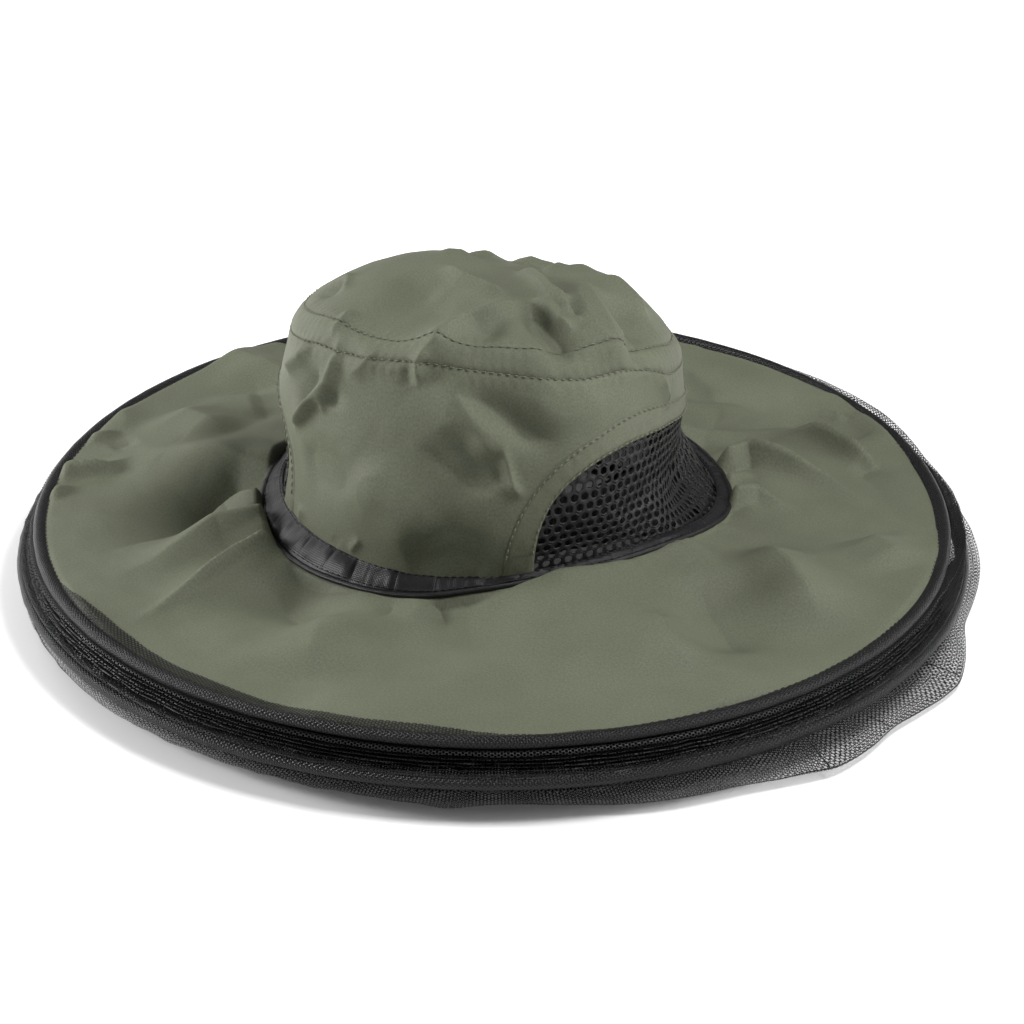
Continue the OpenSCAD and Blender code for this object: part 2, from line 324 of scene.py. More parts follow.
def apply(o, *mods):
    """Adds modifiers given as (type, {setting: value}) and applies them."""
    for kind, values in mods:
        m = o.modifiers.new(kind, kind)
        for k, v in values.items():
            setattr(m, k, v)
    dg = bpy.context.evaluated_depsgraph_get()
    me = bpy.data.meshes.new_from_object(o.evaluated_get(dg))
    o.modifiers.clear()
    old = o.data
    o.data = me
    bpy.data.meshes.remove(old)
    me.polygons.foreach_set("use_smooth", np.ones(len(me.polygons), bool))
    return o

def thick(o, t, offset=-1):
    return apply(o, ("SOLIDIFY", {"thickness": t * MM, "offset": offset}))

def arc(P):
    d = np.linalg.norm(np.diff(P, axis=0), axis=1)
    return np.concatenate([[0], np.cumsum(d)])

def stitches(name, path, normals, length=2.5, gap=1.0, rad=0.27, lift=0.12):
    """A row of sewn stitches, each a small capsule that dips into the cloth at both ends."""
    s = arc(path)
    n = int((s[-1] - length) / (length + gap))
    c = length / 2 + 0.5 * gap + np.arange(n) * (length + gap)
    at = lambda A, x: np.stack([np.interp(x, s, A[:, k]) for k in range(3)], 1)
    C = at(path, c)
    D = at(path, c + 0.6) - at(path, c - 0.6)
    D /= np.linalg.norm(D, axis=1)[:, None]
    N = at(normals, c)
    N -= (N * D).sum(1)[:, None] * D
    N /= np.linalg.norm(N, axis=1)[:, None]
    S = np.cross(D, N)
    xs = np.array([-0.54, -0.42, -0.2, 0.2, 0.42, 0.54]) * length
    rs = np.array([0.25, 0.8, 1.0, 1.0, 0.8, 0.25]) * rad
    ls = np.array([-0.35, -0.08, lift, lift, -0.08, -0.35])
    ph = np.arange(6) * math.pi / 3
    V = (C[:, None, None] + D[:, None, None] * xs[None, :, None, None] + N[:, None, None] * ls[None, :, None, None]
         + (S[:, None, None] * np.cos(ph)[None, None, :, None] + N[:, None, None] * np.sin(ph)[None, None, :, None]) * rs[None, :, None, None])
    base = np.arange(n)[:, None, None] * 36
    k, j = np.meshgrid(np.arange(5), np.arange(6), indexing="ij")
    j1 = (j + 1) % 6
    f = np.stack([k * 6 + j, k * 6 + j1, (k + 1) * 6 + j1, (k + 1) * 6 + j], -1)[None] + base[..., None]
    return V.reshape(-1, 3), f.reshape(-1, 4)

def join_parts(name, parts):
    V, F, off = [], [], 0
    for v, f in parts:
        V.append(v); F.append(f + off); off += len(v)
    return mesh_object(name, np.concatenate(V), np.concatenate(F))

# ---------------------------------------------------------------- materials
def new_material(name):
    m = bpy.data.materials.new(name)
    m.use_nodes = True
    nt = m.node_tree
    for n in list(nt.nodes):
        nt.nodes.remove(n)
    out = nt.nodes.new("ShaderNodeOutputMaterial")
    b = nt.nodes.new("ShaderNodeBsdfPrincipled")
    nt.links.new(b.outputs[0], out.inputs[0])
    return m, nt, b, out

def math_node(nt, op, a, b=None, c=None):
    n = nt.nodes.new("ShaderNodeMath")
    n.operation = op
    for i, x in enumerate((a, b, c)):
        if x is None:
            continue
        if isinstance(x, (int, float)):
            n.inputs[i].default_value = x
        else:
            nt.links.new(x, n.inputs[i])
    return n.outputs[0]

def uv_mm(nt):
    uv = nt.nodes.new("ShaderNodeUVMap")
    uv.uv_map = "UVMap"
    sep = nt.nodes.new("ShaderNodeSeparateXYZ")
    nt.links.new(uv.outputs[0], sep.inputs[0])
    return uv.outputs[0], sep.outputs[0], sep.outputs[1]

def noise_node(nt, vec, scale, detail=2.0, rough=0.5):
    n = nt.nodes.new("ShaderNodeTexNoise")
    n.inputs["Scale"].default_value = scale
    n.inputs["Detail"].default_value = detail
    n.inputs["Roughness"].default_value = rough
    nt.links.new(vec, n.inputs["Vector"])
    return n.outputs[0]

def ramp(nt, fac, stops):
    r = nt.nodes.new("ShaderNodeValToRGB")
    el = r.color_ramp.elements
    el[0].position, el[0].color = stops[0][0], (*stops[0][1], 1)
    el[1].position, el[1].color = stops[-1][0], (*stops[-1][1], 1)
    for p, c in stops[1:-1]:
        e = el.new(p)
        e.color = (*c, 1)
    nt.links.new(fac, r.inputs[0])
    return r.outputs[0]

def mix_rgb(nt, fac, a, b, mode="MIX"):
    n = nt.nodes.new("ShaderNodeMix")
    n.data_type = "RGBA"
    n.blend_type = mode
    for sock, x in ((n.inputs[0], fac), (n.inputs[6], a), (n.inputs[7], b)):
        if isinstance(x, (int, float)):
            sock.default_value = x
        elif isinstance(x, tuple):
            sock.default_value = (*x, 1)
        else:
            nt.links.new(x, sock)
    return n.outputs[2]

def bump(nt, height, strength, distance_mm, normal=None):
    n = nt.nodes.new("ShaderNodeBump")
    n.inputs["Strength"].default_value = strength
    n.inputs["Distance"].default_value = distance_mm * MM
    nt.links.new(height, n.inputs["Height"])
    if normal is not None:
        nt.links.new(normal, n.inputs["Normal"])
    return n.outputs[0]

def twill(nt, u, v, pitch):
    """Diagonal weave: warp and weft floats stepped by one thread."""
    k = 2 * math.pi / pitch
    a = math_node(nt, "SINE", math_node(nt, "MULTIPLY", math_node(nt, "ADD", u, v), k))
    b = math_node(nt, "SINE", math_node(nt, "MULTIPLY", math_node(nt, "SUBTRACT", u, math_node(nt, "MULTIPLY", v, 0.35)), k * 1.6))
    return math_node(nt, "MULTIPLY_ADD", b, 0.45, a)

def cloth_material(name, dark, light, rough=0.5, sheen=0.2, spec=0.35, pitch=0.7):
    m, nt, b, _ = new_material(name)
    vec, u, v = uv_mm(nt)
    big = noise_node(nt, vec, 0.02, 3.0, 0.55)
    fine = noise_node(nt, vec, 1.1, 2.0, 0.6)
    col = ramp(nt, big, [(0.3, dark), (0.72, light)])
    grain = ramp(nt, fine, [(0.25, (0.78, 0.78, 0.78)), (0.75, (1.2, 1.2, 1.2))])
    w = twill(nt, u, v, pitch)
    thread = ramp(nt, math_node(nt, "MULTIPLY_ADD", w, 0.33, 0.5), [(0.1, (0.9, 0.9, 0.9)), (0.9, (1.06, 1.06, 1.06))])
    c = mix_rgb(nt, 1.0, mix_rgb(nt, 1.0, col, grain, "MULTIPLY"), thread, "MULTIPLY")
    nt.links.new(c, b.inputs["Base Color"])
    r = math_node(nt, "MULTIPLY_ADD", fine, 0.16, rough - 0.08)
    nt.links.new(r, b.inputs["Roughness"])
    b.inputs["Specular IOR Level"].default_value = spec
    b.inputs["Sheen Weight"].default_value = sheen
    b.inputs["Sheen Roughness"].default_value = 0.45
    n1 = bump(nt, math_node(nt, "ADD", w, math_node(nt, "MULTIPLY", fine, 1.2)), 0.35, 0.06)
    n2 = bump(nt, noise_node(nt, vec, 0.16, 3.0, 0.6), 0.35, 0.5, n1)
    nt.links.new(n2, b.inputs["Normal"])
    return m

def hex_field(nt, u, v, pitch):
    k = 4 * math.pi / (math.sqrt(3) * pitch)
    uk = math_node(nt, "MULTIPLY", u, k)
    vk = math_node(nt, "MULTIPLY", v, k * math.sqrt(3) / 2)
    half = math_node(nt, "MULTIPLY", u, -k / 2)
    c1 = math_node(nt, "COSINE", uk)
    c2 = math_node(nt, "COSINE", math_node(nt, "ADD", half, vk))
    c3 = math_node(nt, "COSINE", math_node(nt, "SUBTRACT", half, vk))
    return math_node(nt, "ADD", c1, math_node(nt, "ADD", c2, c3))

def net_material(name, pitch=1.7, thr=0.1, edge=None, lines=(), open_to=None, col=(0.0055, 0.0055, 0.006), rough=0.5):
    m, nt, b, out = new_material(name)
    vec, u, v = uv_mm(nt)
    f = hex_field(nt, u, v, pitch)
    if open_to is None:
        level = thr
    else:
        # more open up to this far along the net, closer beyond
        k = math_node(nt, "MULTIPLY", math_node(nt, "SUBTRACT", v, open_to), 0.25)
        k = math_node(nt, "MINIMUM", math_node(nt, "MAXIMUM", k, 0.0), 1.0)
        level = math_node(nt, "MULTIPLY_ADD", k, thr + 0.5, -0.5)
    a = math_node(nt, "LESS_THAN", f, level)
    if edge is not None:
        # doubled thread along the outer fold
        near = math_node(nt, "LESS_THAN", math_node(nt, "ABSOLUTE", math_node(nt, "SUBTRACT", v, edge)), 0.34)
        a = math_node(nt, "MAXIMUM", a, near)
    for u0, slope, v0, v1 in lines:
        # a pressed crease
        d = math_node(nt, "SUBTRACT", u, math_node(nt, "MULTIPLY_ADD", v, slope, u0 - v0 * slope))
        on = math_node(nt, "LESS_THAN", math_node(nt, "ABSOLUTE", d), 0.30)
        on = math_node(nt, "MULTIPLY", on, math_node(nt, "GREATER_THAN", v, v0))
        on = math_node(nt, "MULTIPLY", on, math_node(nt, "LESS_THAN", v, v1))
        a = math_node(nt, "MAXIMUM", a, on)
    nt.links.new(a, b.inputs["Alpha"])
    tone = noise_node(nt, vec, 0.05, 2.0, 0.5)
    c = ramp(nt, tone, [(0.3, col), (0.7, tuple(x * 2.0 for x in col))])
    nt.links.new(c, b.inputs["Base Color"])
    b.inputs["Roughness"].default_value = rough
    b.inputs["Specular IOR Level"].default_value = 0.3
    nt.links.new(bump(nt, math_node(nt, "MULTIPLY", f, -0.5), 0.6, 0.12), b.inputs["Normal"])
    m.surface_render_method = "DITHERED"
    return m

def tape_material(name, col, rough, rib=0.9, rib_strength=0.5, spec=0.5, hexa=False):
    m, nt, b, _ = new_material(name)
    vec, u, v = uv_mm(nt)
    tone = noise_node(nt, vec, 0.06, 3.0, 0.6)
    fine = noise_node(nt, vec, 1.6, 2.0, 0.6)
    c = ramp(nt, tone, [(0.3, col), (0.72, tuple(x * 1.9 for x in col))])
    c = mix_rgb(nt, 1.0, c, ramp(nt, fine, [(0.3, (0.8, 0.8, 0.8)), (0.7, (1.25, 1.25, 1.25))]), "MULTIPLY")
    nt.links.new(c, b.inputs["Base Color"])
    nt.links.new(math_node(nt, "MULTIPLY_ADD", fine, 0.2, rough - 0.1), b.inputs["Roughness"])
    b.inputs["Specular IOR Level"].default_value = spec
    if hexa:
        h = math_node(nt, "MULTIPLY", hex_field(nt, u, v, 1.35), -0.5)
    else:
        h = math_node(nt, "ADD", math_node(nt, "SINE", math_node(nt, "MULTIPLY", u, 2 * math.pi / rib)),
                      math_node(nt, "SINE", math_node(nt, "MULTIPLY", v, 2 * math.pi / (rib * 0.8))))
    n1 = bump(nt, h, rib_strength, 0.22 if hexa else 0.10)
    n2 = bump(nt, tone, 0.5, 0.6, n1)
    nt.links.new(n2, b.inputs["Normal"])
    return m

def object_material(name, col, rough, metallic=0.0, scale=900.0, spec=0.5):
    """For CAD nodes and threads, which have no UVs: fine noise in object space."""
    m, nt, b, _ = new_material(name)
    tc = nt.nodes.new("ShaderNodeTexCoord")
    n = noise_node(nt, tc.outputs["Object"], scale, 3.0, 0.6)
    c = ramp(nt, n, [(0.3, tuple(x * 0.7 for x in col)), (0.7, tuple(x * 1.25 for x in col))])
    nt.links.new(c, b.inputs["Base Color"])
    nt.links.new(math_node(nt, "MULTIPLY_ADD", n, 0.2, rough - 0.1), b.inputs["Roughness"])
    b.inputs["Metallic"].default_value = metallic
    b.inputs["Specular IOR Level"].default_value = spec
    nt.links.new(bump(nt, n, 0.4, 0.05), b.inputs["Normal"])
    return m

OLIVE = cloth_material("olive_cloth", (0.113, 0.122, 0.084), (0.136, 0.147, 0.103), rough=0.58, sheen=0.0, spec=0.15)
FACING = cloth_material("olive_facing", (0.109, 0.117, 0.079), (0.130, 0.140, 0.096), rough=0.55, sheen=0.0, spec=0.22)
SATIN = tape_material("black_satin", (0.0075, 0.0075, 0.0085), 0.40, rib=0.8, rib_strength=0.3, spec=0.26)
BINDING = tape_material("hoop_binding", (0.005, 0.005, 0.0055), 0.34, rib=0.9, rib_strength=0.7, spec=0.24, hexa=True)
PIPING = tape_material("black_piping", (0.006, 0.006, 0.0065), 0.4, rib=0.7, rib_strength=0.4, spec=0.35)
HEM = tape_material("neck_hem", (0.008, 0.008, 0.0085), 0.5, rib=1.0, rib_strength=0.6, spec=0.3)
SPACER = object_material("spacer_mesh", (0.0075, 0.0075, 0.008), 0.45, scale=1500.0, spec=0.35)
THREAD = object_material("olive_thread", (0.135, 0.143, 0.100), 0.55, scale=2500.0, spec=0.3)
BLACK_THREAD = object_material("black_thread", (0.009, 0.009, 0.0095), 0.5, scale=2500.0, spec=0.3)
STEEL = object_material("spring_steel", (0.55, 0.55, 0.53), 0.3, metallic=1.0, scale=700.0)
ELASTIC = object_material("elastic", (0.02, 0.02, 0.021), 0.7, scale=1200.0)
ELASTIC_UV = tape_material("flat_elastic", (0.016, 0.016, 0.017), 0.65, rib=1.3, rib_strength=0.8, spec=0.3)

def dress(o, material, body, replace=()):
    o.data.materials.clear()
    o.data.materials.append(material)
    if body:
        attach(o, body)
    if replace:
        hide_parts(*replace)
    return o

# ---------------------------------------------------------------- camera, floor and light
def make_camera():
    e, roll = math.radians(27.72), math.radians(0.46)
    a = math.radians(AZ)
    turn = lambda x, y, z: Vector((x * math.cos(a) - y * math.sin(a), x * math.sin(a) + y * math.cos(a), z))
    fwd = turn(0, math.cos(e), -math.sin(e))
    right = turn(1, 0, 0)
    up = right.cross(fwd)
    R = math.cos(roll) * right + math.sin(roll) * up
    U = -math.sin(roll) * right + math.cos(roll) * up
    pos = turn(0.0083, -1.18946, 0.6512)
    m = Matrix((R, U, -fwd)).transposed().to_4x4()
    m.translation = pos
    cam = bpy.data.cameras.new("camera")
    cam.lens = 103.62
    cam.sensor_width = 36.0
    cam.clip_start, cam.clip_end = 0.01, 50
    o = bpy.data.objects.new("camera", cam)
    o.matrix_world = m
    bpy.context.scene.collection.objects.link(o)
    bpy.context.scene.camera = o

def area_light(name, loc, target, size, power, color=(1, 1, 1)):
    l = bpy.data.lights.new(name, "AREA")
    l.shape = "RECTANGLE"
    l.size, l.size_y = size
    l.energy = power
    l.color = color
    o = bpy.data.objects.new(name, l)
    d = Vector(target) - Vector(loc)
    o.location = loc
    o.rotation_euler = d.to_track_quat("-Z", "Y").to_euler()
    bpy.context.scene.collection.objects.link(o)

def make_stage():
    # a pale floor: one large flat square
    s = 6000.0
    o = mesh_object("floor", [(-s, -s, -0.15), (s, -s, -0.15), (s, s, -0.15), (-s, s, -0.15)], [(0, 1, 2, 3)], smooth=False)
    m, nt, b, _ = new_material("floor_white")
    b.inputs["Base Color"].default_value = (0.93, 0.93, 0.93, 1)
    b.inputs["Emission Color"].default_value = (1, 1, 1, 1)
    # painted light: the table glows, brightest away from the hat, which washes out the hat's shadow on it; the glow
    # fades to almost nothing under the hat, so the floor seen inside the hat stays dark as painted shade
    tc = nt.nodes.new("ShaderNodeTexCoord")
    ln = nt.nodes.new("ShaderNodeVectorMath")
    ln.operation = "LENGTH"
    nt.links.new(tc.outputs["Object"], ln.inputs[0])
    floor_glow = math_node(nt, "MULTIPLY", math_node(nt, "SUBTRACT", ln.outputs["Value"], 0.205), 9.0)
    floor_glow = math_node(nt, "MINIMUM", math_node(nt, "MAXIMUM", floor_glow, 0.0), 1.0)
    nt.links.new(math_node(nt, "MULTIPLY_ADD", floor_glow, 0.56, 0.04), b.inputs["Emission Strength"])
    b.inputs["Roughness"].default_value = 0.7
    b.inputs["Specular IOR Level"].default_value = 0.2
    o.data.materials.append(m)
    w = bpy.data.worlds.new("studio")
    bpy.context.scene.world = w
    w.use_nodes = True
    bg = w.node_tree.nodes["Background"]
    bg.inputs[0].default_value = (1, 1, 1, 1)
    bg.inputs[1].default_value = 0.16
    a = math.radians(AZ)
    def at(x, y, z):
        return (x * math.cos(a) - y * math.sin(a), x * math.sin(a) + y * math.cos(a), z)
    area_light("left", at(-1.2, 0.05, 0.45), (0, 0, 0.05), (0.35, 0.35), 16)
    area_light("left_back", at(-0.75, 0.95, 0.55), (0, 0, 0.05), (0.35, 0.35), 3)
    area_light("right", at(1.2, -0.1, 0.42), (0, 0, 0.05), (0.35, 0.35), 5)
    area_light("top", at(0.4, -0.2, 0.9), (0.1, -0.08, 0.05), (0.3, 0.3), 8)
    v = bpy.context.scene.view_settings
    v.view_transform = "Standard"
    v.look = "None"
    v.exposure = 0.0
    v.gamma = 1.0

make_camera()
make_stage()

# ---------------------------------------------------------------- crown surface with its folds
HAT = "hat"
def crown_base(t, v):
    P = crown(t, v)
    a = math.radians(AZ)
    right = P[..., 0] * math.cos(a) + P[..., 1] * math.sin(a)
    away = -P[..., 0] * math.sin(a) + P[..., 1] * math.cos(a)
    k = np.clip((away + 30) / 34, 0, 1)
    k = k * k * (3 - 2 * k) * np.clip((np.asarray(v) - 2.0) * 4, 0, 1)
    P[..., 2] += DZ - k * 6.5 * np.exp(-((right - 15) / 24) ** 2)
    return P

def crown_normal(t, v):
    t, v = np.broadcast_arrays(np.asarray(t, float), np.asarray(v, float))
    dt, dv = 1.0, 0.035
    a = crown_base(t + dt, v) - crown_base(t - dt, v)
    b = crown_base(t, np.clip(v + dv, -0.1, 3)) - crown_base(t, np.clip(v - dv, -0.1, 3))
    n = np.cross(a, b)
    n += np.array([0, 0, 1e-3])
    n /= np.linalg.norm(n, axis=-1)[..., None]
    return n

LAID = {}
def on_crown(folds):
    """The fold lines moved along the cloth's normals until they lie on it."""
    if id(folds) not in LAID:
        T, V = np.meshgrid(np.linspace(-180, 179, 360), np.linspace(0, 3, 121), indexing="ij")
        R, N = crown_base(T, V).reshape(-1, 3), crown_normal(T, V).reshape(-1, 3)
        out = []
        for pts, w, h in folds:
            pts = np.array(pts, float)
            line = []
            for a, b in zip(pts[:-1], pts[1:]):
                k = max(1, int(math.ceil(np.linalg.norm(b - a) / 4.0)))
                line += [a + (b - a) * i / k for i in range(k)]
            line.append(pts[-1])
            laid = []
            for p in line:
                i = int(np.argmin(((R - p) ** 2).sum(1)))
                laid.append(tuple(p - ((p - R[i]) @ N[i]) * N[i]))
            out.append((laid, w, h))
        LAID[id(folds)] = out
    return LAID[id(folds)]

def crown_disp(P, t, v):
    d = (2.2 + 0.5 * np.clip(v - 1.9, 0, 1)) * fold_height(P, on_crown(CROWN_FOLDS)) + 1.3 * fold_height(P, on_crown(BACK_FOLDS))
    d = np.where(d > 3.5, 3.5 + 0.5 * (d - 3.5), d)
    lim = -1.4 - 4.5 * np.clip(v - 0.3, 0, 1)
    d = np.where(d < lim, lim + 0.25 * (d - lim), d)
    q = P.reshape(-1, 3)
    amp = np.clip(v.reshape(-1) * 3.0, 0.25, 1.0)
    n = 1.6 * (vnoise(q / 46.0, 3) - 0.5) + 0.9 * (vnoise(q / 19.0, 4) - 0.5)
    n += 0.45 * np.clip(ridged(q + 14 * vnoise(q / 40.0, 9)[:, None], 38.0, 5) - 0.60, 0, 1) / 0.40
    n += 0.35 * (vnoise(q / 7.0, 6) - 0.5)
    d = d + (n * amp).reshape(d.shape)
    # the two rows of stitching draw the cloth in and pucker it
    for row, span in ((1.0, 12.0), (2.0, 12.0)):
        mm = np.abs(v - row) * np.where(v < 1, 80.0, np.where(v < 2, 13.5, 80.0))
        p = 0.5 + 0.5 * np.sin(np.radians(t) * 92 + 3 * np.sin(np.radians(t) * 11))
        p = p * (0.4 + 1.2 * vnoise(np.stack([np.asarray(t) * 0.3, 0 * t, 0 * t], -1), 8))
        d = d - (0.22 + 0.25 * p) * np.exp(-(mm / 1.3) ** 2) + 0.22 * p * np.exp(-((mm - 3.2) / 2.2) ** 2)
    return d

def crown_at(t, v, off=0.0, folds=True):
    """Finished crown surface at angle t and position v, moved out by off."""
    t, v = np.broadcast_arrays(np.asarray(t, float), np.asarray(v, float))
    P = crown_base(t, v)
    N = crown_normal(t, v)
    d = crown_disp(P, t, v) if folds else 0.0
    return P + N * (np.asarray(d) + off)[..., None], N

# folds on the sides that the front view doesn't show: soft, from a fixed seed
rng = np.random.default_rng(7)
BACK_FOLDS = []
for k in range(26):
    t0 = rng.uniform(105, 250)
    v0 = rng.choice([rng.uniform(0.25, 0.9), rng.uniform(2.1, 2.7)])
    L = rng.uniform(10, 26)
    dv = rng.uniform(0.12, 0.32) * (1 if v0 < 1.5 else 0.7)
    tt = np.array([t0, t0 + L * 0.5 * rng.uniform(-1, 1), t0 + L * rng.uniform(-1, 1)])
    vv = np.clip(v0 + np.array([0, dv, 2 * dv]), 0.1, 2.75)
    pts = crown_base(tt, vv)
    BACK_FOLDS.append(([tuple(p) for p in pts], float(rng.uniform(3, 8)), float(rng.uniform(1.4, 3.2) * rng.choice([1, 1, -1]))))

def view_angle(hat_deg):
    return hat_deg - AZ

# windows: half width (deg) and height (v) of the mesh edge and of the facing's outer row
def arch_uv(side, phi, g):
    """g = 0 on the mesh edge, 1 on the outer edge of the facing. Returns view angle and v."""
    hw = (51.5 if side > 0 else 47.5) + 7.9 * g
    hv = 0.645 + 0.15 * g
    n = 3.1 - 0.7 * g
    mid = 90.0 if side > 0 else 95.0
    c, s = np.cos(phi), np.sin(phi)
    x = np.sign(c) * np.abs(c) ** (2 / n)
    y = np.abs(s) ** (2 / n)
    return view_angle(side * (mid - hw * x)), hv * y

def in_window(t, v, grow=0.0):
    hat = (np.asarray(t) + AZ + 180) % 360 - 180
    a = np.minimum(np.abs(hat - 90) / (51.5 + 7.9 * grow), np.abs(hat + 95) / (47.5 + 7.9 * grow))
    b = np.clip(v, 0, None) / (0.645 + 0.15 * grow)
    n = 3.1 - 0.7 * grow
    return a ** n + b ** n < 1

def make_crown():
    sheets = []
    nv = 104
    v = np.linspace(0, 1, nv)
    for name, mid in (("crown_front", 0.0), ("crown_back", 180.0)):
        hat = np.linspace(mid - 90, mid + 90, 381)
        t = view_angle(hat)
        T, V = np.meshgrid(t, v, indexing="ij")
        P, N = crown_at(T, V)
        Tc = (T[:-1, :-1] + T[1:, 1:]) / 2
        Vc = (V[:-1, :-1] + V[1:, 1:]) / 2
        UV = np.stack([np.radians(np.broadcast_to(hat[:, None], T.shape)) * 92.0, V * 80.0], -1)
        o = grid(name, P, UV, keep=~in_window(Tc, Vc, 0.38))
        thick(o, 0.9)
        dress(o, OLIVE, HAT, [name + "_panel"])
        sheets.append(o)
    t = np.linspace(-180, 180, 721)[:-1]
    for name, v, node in (("crown_band_cloth", np.linspace(1, 2, 19), "crown_band"), ("crown_top", 3 - np.linspace(1, 0.004, 84) ** 1.0, "crown_tip")):
        T, V = np.meshgrid(t, v, indexing="ij")
        P, N = crown_at(T, V)
        Tu, Vu = np.meshgrid(np.append(t, 180.0), v, indexing="ij")
        if node == "crown_tip":
            q = (3 - Vu) * 82.0
            UV = np.stack([q * np.cos(np.radians(Tu)), q * np.sin(np.radians(Tu))], -1)
        else:
            UV = np.stack([np.radians(Tu) * 84.0, (Vu - 1) * 14.0], -1)
        o = grid(name, P, UV, closed=True)
        if node == "crown_tip":
            # close the small hole in the middle
            import bmesh
            bm = bmesh.new(); bm.from_mesh(o.data)
            bm.verts.ensure_lookup_table()
            ring = sorted([e for e in bm.edges if e.is_boundary], key=lambda e: (e.verts[0].co.xy + e.verts[1].co.xy).length)
            c = P[:, -1].mean(0) * MM
            inner = [e for e in bm.edges if e.is_boundary and all((vv.co - Vector(c)).length < 0.004 for vv in e.verts)]
            bmesh.ops.holes_fill(bm, edges=inner, sides=0)
            for f in bm.faces:
                f.smooth = True
            bm.to_mesh(o.data); bm.free()
            thick(o, 0.9)
        else:
            thick(o, 1.1)
        dress(o, OLIVE, HAT, [node])
    # rows of thread
    parts = []
    tt = np.linspace(-180, 180, 1441)
    for vv in (1.0, 2.0):
        p, n = crown_at(tt, np.full_like(tt, vv), 0.12)
        parts.append(stitches("row", p, n, 2.1, 1.3, 0.32, 0.26))
    for side in (1, -1):
        for g, off in ((0.93, 0.95), (0.06, 0.95)):
            phi = np.linspace(0.10, math.pi - 0.10, 500)
            a, b = arch_uv(side, phi, g)
            k = b > 0.13
            p, n = crown_at(a[k], b[k], off)
            parts.append(stitches("row", p, n, 2.1, 1.3, 0.30, 0.1))
    o = join_parts("crown_stitching", parts)
    dress(o, THREAD, HAT)
    # facings round the windows
    for side, name in ((1, "vent_facing_right"), (-1, "vent_facing_left")):
        phi = np.linspace(0.0, math.pi, 361)
        g = np.linspace(-0.03, 1.0, 15)
        G, PH = np.meshgrid(g, phi, indexing="xy")
        a, b = arch_uv(side, PH, G)
        edge = np.clip(np.minimum(G + 0.03, 1.0 - G) / 0.10, 0, 1)
        off = 0.15 + 0.45 * edge + 0.25 * (vnoise(np.stack([PH * 30, G * 3, 0 * G], -1), 12) - 0.5)
        off -= 0.45 * np.exp(-((G - 0.93) / 0.03) ** 2) + 0.35 * np.exp(-((G - 0.06) / 0.03) ** 2)
        P, N = crown_at(a, b, off)
        UV = np.stack([PH * 62.0, G * 13.0], -1)
        o = grid(name + "_cloth", P, UV, flip=(side < 0))
        thick(o, 0.7)
        dress(o, FACING, HAT, [name])

def make_vents():
    """Spacer mesh with real holes, a little slack, behind the edge of the facing."""
    px, py = 5.3, 4.25
    k = px * px / (8 * py)
    hexa = [(px/2, py/2 - k), (px/4, py/2), (0, py/2 + k), (-px/4, py/2), (-px/2, py/2 - k), (-px/2, 0),
            (-px/2, -py/2 + k), (-px/4, -py/2), (0, -py/2 - k), (px/4, -py/2), (px/2, -py/2 + k), (px/2, 0)]
    ang = [math.atan2(y / 1.36, x / 1.78) for x, y in hexa]
    hole = []
    for a in ang:
        c, s = math.cos(a), math.sin(a)
        hole.append((1.72 * math.copysign(abs(c) ** 0.75, c), 1.32 * math.copysign(abs(s) ** 0.75, s)))
    for side, name in ((1, "vent_mesh_right"), (-1, "vent_mesh_left")):
        verts, faces, index = [], [], {}
        def vid(x, y):
            key = (round(x, 2), round(y, 2))
            if key not in index:
                index[key] = len(verts)
                verts.append(key)
            return index[key]
        for j in range(-1, 15):
            for i in range(-20, 21):
                cx, cy = (i + 0.5 * (j % 2)) * px, j * py + 1.2
                x_ok = abs(cx) / (93.0 if side > 0 else 86.0)
                y_ok = max(cy, 0) / 55.5
                if x_ok ** 3.1 + y_ok ** 3.1 > 1 or cy < -1.5:
                    continue
                o_ = [vid(cx + x, cy + y) for x, y in hexa]
                i_ = [vid(cx + x, cy + y) for x, y in hole]
                for m in range(12):
                    n_ = (m + 1) % 12
                    faces.append((o_[m], o_[n_], i_[n_], i_[m]))
        q = np.array(verts)
        hatdeg = side * ((90.0 if side > 0 else 95.0) - q[:, 0] / 1.72)
        vv = np.clip(q[:, 1] / 82.0, -0.03, 0.72)
        w = np.stack([q[:, 0], q[:, 1], np.full(len(q), 5.0 * side)], -1)
        inner = np.clip(1 - (np.abs(q[:, 0]) / 90.0) ** 3 - (q[:, 1] / 54.0) ** 3, 0, 1)
        slack = -0.6 - inner * (1.8 + 3.0 * (vnoise(w / 17.0, 21) - 0.3)) + 1.6 * inner * (ridged(w, 13.0, 22) - 0.6)
        # the slack mesh is dented inwards near the back end of the window
        slack = slack - 8.0 * np.exp(-((side * hatdeg - 104) / 15.0) ** 2 - ((vv - 0.22) / 0.17) ** 2)
        P, N = crown_at(view_angle(hatdeg), vv, 0.0, folds=True)
        P = P + N * slack[:, None]
        o = mesh_object(name + "_net", P, np.array(faces), None)
        if side < 0:
            o.data.flip_normals()
        apply(o, ("SOLIDIFY", {"thickness": 0.8 * MM, "offset": 0.0}), ("SUBSURF", {"levels": 1, "render_levels": 1}))
        dress(o, SPACER, HAT, [name])

